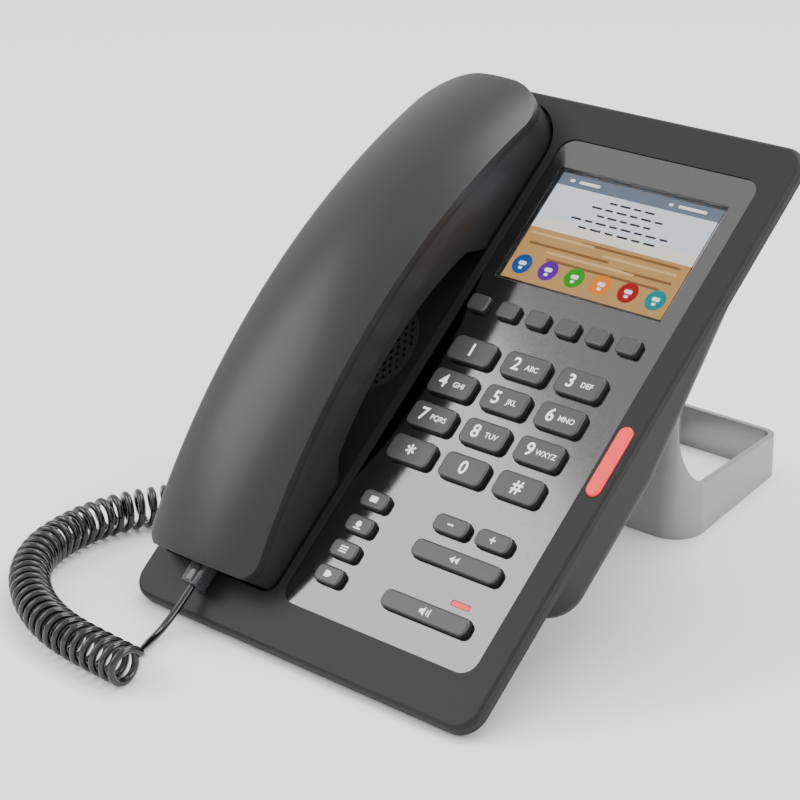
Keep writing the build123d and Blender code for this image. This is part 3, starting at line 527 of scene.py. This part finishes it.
def pin_row(name, finish, **sizes):
    """A row of pins as a plain mesh, along x and centred on the origin."""
    if "pin_row" not in TREES:
        TREES["pin_row"] = pin_row_tree()
    tree, sockets = TREES["pin_row"]
    obj = linked(bpy.data.meshes.new(name), name)
    modifier = obj.modifiers.new("pins", "NODES")
    modifier.node_group = tree
    for key, value in sizes.items():
        modifier[sockets[key]] = value
    modifier[sockets["Material"]] = finish_of(finish)
    return coat(baked(obj), finish)


# ---------------------------------------------------------------- the curly cord
COIL_ROUTE = [
    (-29.0, -170.4), (-48.0, -169.9), (-66.0, -168.4), (-83.0, -163.4), (-99.0, -154.9),
    (-112.5, -143.9), (-122.0, -129.9), (-126.5, -113.9), (-127.5, -98.0), (-124.5, -83.0),
    (-117.0, -69.0),
]
BASE_LEAD = [
    (-110.6, -66.0, 13.2), (-107.5, -61.6, 20.5),
    (-102.5, -60.1, 28.5), (-96.5, -60.091, 35.6), (-91.0, -60.091, 38.225), (-83.0, -60.091, 38.225),
]
HANDSET_LEAD = [
    (-49.3, -122.998, 14.016), (-49.3, -129.036, 8.767), (-48.8, -138.8, 2.4), (-46.3, -147.4, 1.9),
    (-41.0, -155.4, 3.2), (-35.5, -161.4, 7.0),
]
HELIX_POINTS = 14                               # control points to a turn
FIRST_TURN = math.radians(62)                   # where the handset lead joins the first curl
ROUTE_STEPS = 24                                # points to a stretch of the coil's middle line
CORD_STEPS = 2                                  # points to a stretch of the whole cord


def smooth_curve(points, name, steps):
    """Curve data of the smooth line that those control points give."""
    curve = bpy.data.curves.new(name, "CURVE")
    curve.dimensions = "3D"
    spline = curve.splines.new("NURBS")
    spline.points.add(len(points) - 1)
    for point, place in zip(spline.points, points):
        point.co = (*place, 1.0)
    spline.order_u = 3
    spline.use_endpoint_u = True
    spline.resolution_u = steps
    return curve


def smooth_line(points, name, steps):
    """The smooth line of a route, as a list of points."""
    obj = baked(linked(smooth_curve(points, name, steps), name))
    line = [v.co.copy() for v in obj.data.vertices]
    bpy.data.objects.remove(obj)
    return line


def along(line, count):
    """Points and directions evenly spaced along a line."""
    lengths = [0.0]
    for a, b in zip(line, line[1:]):
        lengths.append(lengths[-1] + (b - a).length)
    out, k = [], 0
    for i in range(count):
        want = lengths[-1] * i / (count - 1)
        while k < len(line) - 2 and lengths[k + 1] < want:
            k += 1
        share = (want - lengths[k]) / max(lengths[k + 1] - lengths[k], 1e-12)
        out.append((line[k].lerp(line[k + 1], share), (line[k + 1] - line[k]).normalized()))
    return out


def curls(settings):
    """Control points of the curls: a helix round the coil's route, lying on the desk."""
    axis_height = settings.coil_width / 2
    route = [(x * MM, y * MM, axis_height) for x, y in COIL_ROUTE]
    line = smooth_line(route, "coil_route", ROUTE_STEPS)
    up = Vector((0, 0, 1))
    radius = (settings.coil_width - settings.diameter) / 2
    radius /= math.cos(math.pi / HELIX_POINTS)    # the smooth line cuts inside its control points
    count = settings.turns * HELIX_POINTS
    last = FIRST_TURN - 2 * math.pi * settings.turns
    last += (math.pi / 2 - last) % (2 * math.pi)  # ends rising on the side towards the phone
    points = []
    for i, (centre, heading) in enumerate(along(line, count)):
        angle = FIRST_TURN + (last - FIRST_TURN) * i / (count - 1)
        side = heading.cross(up).normalized()
        points.append(centre + radius * (math.cos(angle) * up + math.sin(angle) * side))
    return points


class TELEPHONE_OT_cord(bpy.types.Operator):
    """Makes the curly cord and its two straight ends"""

    bl_idname = "telephone.cord"
    bl_label = "Cord"

    def execute(self, context):
        settings = context.scene.telephone_cord
        route = [Vector(p) * MM for p in HANDSET_LEAD] + curls(settings) + [Vector(p) * MM for p in BASE_LEAD]
        route.reverse()                          # starts where it leaves the base
        line = smooth_line(route, "cord_line", CORD_STEPS)
        curve = smooth_curve(route, "handset_cord", CORD_STEPS)
        curve.bevel_depth = settings.diameter / 2
        curve.bevel_resolution = 3
        curve.use_fill_caps = True
        tube = coat(baked(linked(curve, "handset_cord")), "cord")
        tube.data.polygons.foreach_set("use_smooth", [True] * len(tube.data.polygons))
        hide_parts("cord_coil", "cord_base_lead", "cord_handset_lead")
        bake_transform(tube)
        return {"FINISHED"}


class TELEPHONE_OT_plugs(bpy.types.Operator):
    """Makes the two clear plugs with their gold contacts"""

    bl_idname = "telephone.plugs"
    bl_label = "Plugs"

    def execute(self, context):
        for node, body in (("base_plug", "base"), ("handset_plug", "handset")):
            softened(node, 0.35 * MM, "plug", body, segments=2)
            low, high = face_box(node)
            middle = (low + high) / 2
            pins = pin_row(node + "_contacts", "gold", Count=4, Pitch=1.02 * MM, Width=0.4 * MM,
                           Length=4.5 * MM, Height=0.3 * MM)
            turn = Matrix.Rotation(-math.pi / 2 if node == "base_plug" else 0.0, 4, "Z")
            inward = Vector((1, 0, 0)) if node == "base_plug" else Vector((0, 1, 0))
            place = Vector((middle.x, middle.y, low.z - PLUG_CONTACT_OUT)) + inward * PLUG_CONTACT_IN
            placed(pins, FACE @ Matrix.Translation(place) @ turn)
            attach(pins, body)
        return {"FINISHED"}


# ---------------------------------------------------------------- handset and housings
class TELEPHONE_OT_handset(bpy.types.Operator):
    """Finishes the handset's shells and what shows through them"""

    bl_idname = "telephone.handset"
    bl_label = "Handset"

    def execute(self, context):
        softened("handset_upper_shell", 0.9 * MM, "handset", "handset", angle=24.0)
        softened("handset_lower_shell", 0.35 * MM, "handset", "handset", angle=30.0)
        for node, finish in (("receiver", "frame"), ("handset_microphone", "frame"),
                             ("handset_weight", "zinc"), ("handset_jack", "black"),
                             ("handset_screws", "zinc")):
            finish_node(node, finish)
        return {"FINISHED"}


class TELEPHONE_OT_housing(bpy.types.Operator):
    """Finishes the base's housings, pads, screws and sockets"""

    bl_idname = "telephone.housing"
    bl_label = "Housing"

    def execute(self, context):
        for node, finish in (("front_housing", "housing"), ("rear_housing", "housing"),
                             ("speaker_grille", "tub"), ("hook_plunger", "black"), ("hook_switch", "black"),
                             ("speaker", "frame"), ("main_board", "board"), ("keypad_board", "board"),
                             ("keypad_mat", "silicone"), ("network_ports", "black"), ("power_jack", "black"),
                             ("base_jack", "black"), ("housing_screws", "zinc"), ("stand_screws", "zinc"),
                             ("rubber_pads", "rubber")):
            finish_node(node, finish)
        lean = Matrix.Rotation(SOCKET_LEAN, 4, "X")
        for x in SOCKET_X:
            pins = pin_row("network_contacts", "gold", Count=8, Pitch=1.02 * MM, Width=0.35 * MM,
                           Length=0.35 * MM, Height=7 * MM)
            placed(pins, FACE @ Matrix.Translation((x, *SOCKET_CONTACTS)) @ lean)
            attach(pins, "base")
        return {"FINISHED"}


class TELEPHONE_OT_stand(bpy.types.Operator):
    """Finishes the loop stand"""

    bl_idname = "telephone.stand"
    bl_label = "Stand"

    def execute(self, context):
        softened("stand", 0.5 * MM, "stand", "base", angle=30.0)
        return {"FINISHED"}


# ---------------------------------------------------------------- keys
def icon_parts(name):
    """Outlines of a small generic sign for a function key, in millimetres."""
    signs = {
        "feature_key_1": [rounded(3.4, 2.2, 0.3)],
        "feature_key_2": [disc(1.2), rounded(3.2, 0.5, 0.2, 0, -1.7)],
        "feature_key_3": [rounded(3.4, 0.5, 0.2, 0, 0.9), rounded(3.4, 0.5, 0.2, 0, -0.1),
                          rounded(3.4, 0.5, 0.2, 0, -1.1)],
        "feature_key_4": [[(-1.6, -1.2), (0.2, -1.2), (1.7, 0.0), (0.2, 1.2), (-1.6, 1.2)]],
        "volume_down_key": [rounded(2.6, 0.55, 0.2)],
        "volume_up_key": [rounded(2.6, 0.55, 0.2), rounded(0.55, 2.6, 0.2)],
        "redial_key": [[(-2.2, 0.0), (-0.4, -1.3), (-0.4, 1.3)], [(-0.2, 0.0), (1.6, -1.3), (1.6, 1.3)]],
        "speaker_key": [[(-2.0, -0.7), (-1.0, -0.7), (0.2, -1.6), (0.2, 1.6), (-1.0, 0.7), (-2.0, 0.7)],
                        rounded(0.45, 2.0, 0.2, 1.3, 0.0), rounded(0.45, 3.0, 0.2, 2.3, 0.0)],
    }
    return signs.get(name, [])


def key_legend(node):
    """Printed legend of one key, as a thin relief on its top, or None for a blank key."""
    low, high = face_box(node)
    middle = Vector(((low.x + high.x) / 2, (low.y + high.y) / 2, high.z + LEGEND_LIFT))
    parts = []
    digit = node[len("key_"):] if node.startswith("key_") else None
    if digit:
        label, letters = SYMBOLS.get(digit, digit), LETTERS.get(digit)
        drop = STAR_DROP if digit == "star" else 0.0
        size = STAR_SIZE if digit == "star" else DIGIT_SIZE
        shift = DIGIT_X if letters else 0.0
        parts.append(placed(text_mesh(label, size, LEGEND_DEPTH, 0.12 * MM),
                            Matrix.Translation((shift, drop, 0))))
        if letters:
            parts.append(placed(text_mesh(letters, LETTER_SIZE, LEGEND_DEPTH, 0.03 * MM),
                                Matrix.Translation((*LETTERS_AT, 0))))
    for outline in icon_parts(node):
        parts.append(prism([(x * MM, y * MM) for x, y in outline],
                           -LEGEND_DEPTH / 2, LEGEND_DEPTH / 2))
    if not parts:
        return None
    legend = coat(joined(parts, node + "_legend"), "legend")
    return placed(legend, FACE @ Matrix.Translation(middle))


class TELEPHONE_OT_keys(bpy.types.Operator):
    """Finishes every key, with painted shade on its sides, and prints its legend"""

    bl_idname = "telephone.keys"
    bl_label = "Keys"

    def execute(self, context):
        for body, members in frame["record"]["behaviour"]["bodies"].items():
            if "key" not in body:
                continue
            for node in members:
                # the keys' sides get the dark finish as painted shade
                finish_node(node, "keys", "black")
                legend = key_legend(node)
                if legend:
                    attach(legend, body)
        return {"FINISHED"}


# ---------------------------------------------------------------- panel and display
PICTURE = {
    "sky": (0.86, 0.92, 1.0), "haze": (1.0, 0.95, 0.86), "bar": (0.16, 0.20, 0.26),
    "ground": (0.58, 0.32, 0.11), "sand": (0.80, 0.50, 0.20), "dune": (0.26, 0.12, 0.04),
    "ink": (0.02, 0.025, 0.035), "pale": (1.1, 1.15, 1.2), "blue": (0.02, 0.09, 0.30),
    "purple": (0.13, 0.01, 0.32), "green": (0.03, 0.34, 0.01), "orange": (1.0, 0.24, 0.01),
    "red": (0.42, 0.008, 0.01), "teal": (0.005, 0.26, 0.28),
}
BANDS = (                                       # colour, layer, height, middle from the top
    ("sky", 1, 0.52, 0.26), ("bar", 2, 0.11, 0.055), ("haze", 2, 0.10, 0.47),
)
DASH_ROWS = ((0.30, 4), (0.46, 6), (0.36, 5), (0.62, 8), (0.50, 6))    # reach either side, and how many
STRIPES = {                                     # x, depth from the top and width of each
    "sand": ((-0.55, 0.57, 0.8), (0.45, 0.62, 0.9), (-0.1, 0.71, 1.1)),
    "dune": ((0.30, 0.56, 1.2), (-0.40, 0.66, 1.0), (0.60, 0.70, 0.6), (0.1, 0.77, 1.4)),
}
SIGNS = ("blue", "purple", "green", "orange", "red", "teal")
GLOW = 1.0


def picture_outlines(width, height):
    """The display picture as (colour, layer, outlines), generic shapes in the display's own plane."""
    half_w, half_h = width / 2, height / 2
    shapes = [("ground", 0, [rounded(width, height, 0.1 * MM)])]
    for colour, layer, tall, middle in BANDS:
        shapes.append((colour, layer, [rounded(width, height * tall, 0.1 * MM, 0, half_h - height * middle)]))
    bar = half_h - height * 0.055
    shapes.append(("pale", 3, [rounded(half_w * wide, 1.2 * MM, 0.4 * MM, half_w * x, bar)
                               for x, wide in ((-0.84, 0.06), (-0.62, 0.26), (0.40, 0.05), (0.66, 0.34))]))
    dashes = []
    for i, (reach, words) in enumerate(DASH_ROWS):
        step = 2 * reach * half_w / words
        for k in range(words):
            dashes.append(rounded(step * (0.62 + 0.2 * ((i + k) % 2)), 0.8 * MM, 0.2 * MM,
                                  (k + 0.5) * step - reach * half_w, half_h - height * (0.17 + 0.065 * i)))
    shapes.append(("ink", 3, dashes))
    for colour, stripes in STRIPES.items():
        shapes.append((colour, 2, [rounded(half_w * wide, height * 0.022, 0.3 * MM, half_w * x,
                                           half_h - height * y) for x, y, wide in stripes]))
    for i, colour in enumerate(SIGNS):
        x = width * ((i + 0.5) / len(SIGNS) - 0.5)
        y = -half_h + height * 0.14
        shapes.append((colour, 3, [disc(4.1 * MM, x, y)]))
        shapes.append(("pale", 4, [rounded(3.2 * MM, 1.6 * MM, 0.6 * MM, x, y + 0.4 * MM),
                                   rounded(1.6 * MM, 1.1 * MM, 0.3 * MM, x, y - 1.6 * MM)]))
    return shapes


class TELEPHONE_OT_display(bpy.types.Operator):
    """Makes the display's picture and finishes its window"""

    bl_idname = "telephone.display"
    bl_label = "Display"

    def execute(self, context):
        finish_node("display_lens", "lens")
        finish_node("display_module", "glass")
        low, high = face_box("display_lens")
        cell_top = face_box("display_module")[1].z
        width = high.x - low.x - 2 * PICTURE_MARGIN
        height = high.y - low.y - 2 * PICTURE_MARGIN
        middle = Matrix.Translation(((low.x + high.x) / 2, (low.y + high.y) / 2, cell_top))
        for i, (colour, layer, outlines) in enumerate(picture_outlines(width, height)):
            bottom, top = layer * PICTURE_LAYER + PICTURE_GAP, (layer + 1) * PICTURE_LAYER
            parts = [prism(outline, bottom, top) for outline in outlines]
            piece = joined(parts, f"picture_{i:02d}_{colour}")
            coat(piece, lit(f"picture_{colour}_{i:02d}", PICTURE[colour], GLOW))
            placed(piece, FACE @ middle)
            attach(piece, "base")
        return {"FINISHED"}


class TELEPHONE_OT_panel(bpy.types.Operator):
    """Finishes the key panel, the lamp and the indicator"""

    bl_idname = "telephone.panel"
    bl_label = "Panel and lamps"

    def execute(self, context):
        finish_node("key_panel", "panel")
        finish_node("message_lamp", "lamp")
        finish_node("mute_indicator", "lamp")
        return {"FINISHED"}


# ---------------------------------------------------------------- camera, light and floor
def softbox(name, place, target, width, height, power):
    """A rectangular studio light aimed at target."""
    lamp = bpy.data.lights.new(name, "AREA")
    lamp.shape = "RECTANGLE"
    lamp.size = width
    lamp.size_y = height
    lamp.energy = power * bpy.context.scene.telephone_stage.light
    obj = linked(lamp, name)
    obj.location = place
    obj.rotation_euler = (Vector(target) - Vector(place)).to_track_quat("-Z", "Y").to_euler()
    return obj


class TELEPHONE_OT_stage(bpy.types.Operator):
    """Makes the floor, the studio light and the camera"""

    bl_idname = "telephone.stage"
    bl_label = "Stage"

    def execute(self, context):
        scene = context.scene
        lens = bpy.data.cameras.new("camera")
        lens.lens = scene.telephone_stage.lens
        lens.sensor_width = 36.0
        lens.clip_start = 0.05
        camera = linked(lens, "camera")
        camera.location = CAMERA_PLACE
        camera.rotation_euler = [math.radians(angle) for angle in CAMERA_TURN]
        scene.camera = camera

        floor = prism(disc(6.0, steps=48), -2 * MM, -0.05 * MM, "floor")
        made = Finish("floor_paper", (0.93, 0.93, 0.93), 0.7)
        made.bump(made.noise(60.0, 3.0), 0.1 * MM, 0.1)
        coat(floor, made.material)

        world = bpy.data.worlds.new("studio")
        world.use_nodes = True
        background = world.node_tree.nodes["Background"]
        background.inputs["Color"].default_value = (1.0, 1.0, 1.0, 1.0)
        background.inputs["Strength"].default_value = STUDIO_LIGHT
        scene.world = world
        for name, box in SOFTBOXES.items():
            softbox(name, *box)
        return {"FINISHED"}


class TELEPHONE_PT_panel(bpy.types.Panel):
    """Lists the pieces and their settings"""

    bl_label = "Telephone"
    bl_idname = "TELEPHONE_PT_panel"
    bl_space_type = "VIEW_3D"
    bl_region_type = "UI"
    bl_category = "Telephone"

    def draw(self, context):
        scene = context.scene
        for settings in (scene.telephone_cord, scene.telephone_finish, scene.telephone_stage):
            box = self.layout.box()
            for name in settings.bl_rna.properties.keys():
                if name not in ("rna_type", "name"):
                    box.prop(settings, name)
        for step in STEPS:
            self.layout.operator(step.bl_idname)


STEPS = (TELEPHONE_OT_stage, TELEPHONE_OT_plugs, TELEPHONE_OT_cord, TELEPHONE_OT_handset,
         TELEPHONE_OT_housing, TELEPHONE_OT_stand, TELEPHONE_OT_panel, TELEPHONE_OT_keys,
         TELEPHONE_OT_display)
GROUPS = {"telephone_cord": CordSettings, "telephone_finish": FinishSettings,
          "telephone_stage": StageSettings}
CLASSES = (*GROUPS.values(), *STEPS, TELEPHONE_PT_panel)


def register():
    """Registers the classes and the scene's settings."""
    for item in CLASSES:
        bpy.utils.register_class(item)
    for name, group in GROUPS.items():
        setattr(bpy.types.Scene, name, PointerProperty(type=group))


def unregister():
    """Removes the classes and the scene's settings."""
    for name in GROUPS:
        delattr(bpy.types.Scene, name)
    for item in reversed(CLASSES):
        bpy.utils.unregister_class(item)


def main():
    """Builds the stage, the cord and every piece."""
    register()
    for step in STEPS:
        group, name = step.bl_idname.split(".")
        getattr(getattr(bpy.ops, group), name)()


if __name__ == "__main__":
    main()
